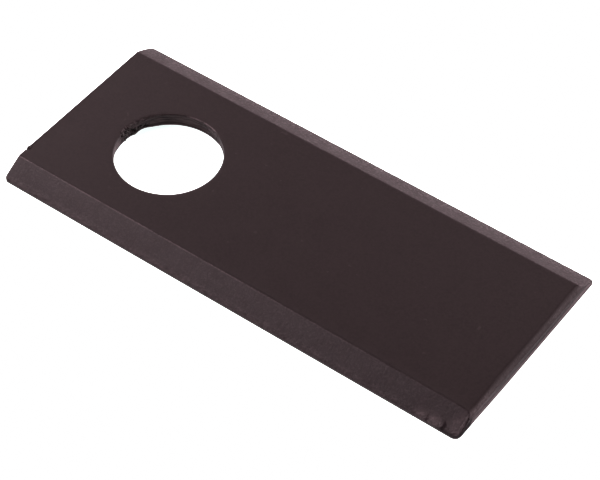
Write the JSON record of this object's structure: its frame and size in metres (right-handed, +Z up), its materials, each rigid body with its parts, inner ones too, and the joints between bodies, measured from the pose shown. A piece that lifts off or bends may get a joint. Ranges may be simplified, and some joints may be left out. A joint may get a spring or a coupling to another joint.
{
  "type": "rotary mower blade",
  "caption": "Flat dark steel mower knife, oblong, with a ground bevel along both long edges and a round pivot hole near one end.",
  "frame": {"origin": "middle of the blade's footprint on its flat underside", "axes": "+X along the blade from the punched end to the plain end, +Y across it, +Z up out of the bevelled face"},
  "size_m": [0.0918, 0.04, 0.0031],
  "materials": {
    "blackened_steel": "thin matt brown-black coat over hardened steel, fine cross-grinding under it on the bevels"
  },
  "bodies": {
    "root": {"blade": "blackened_steel"}
  },
  "joints": []
}
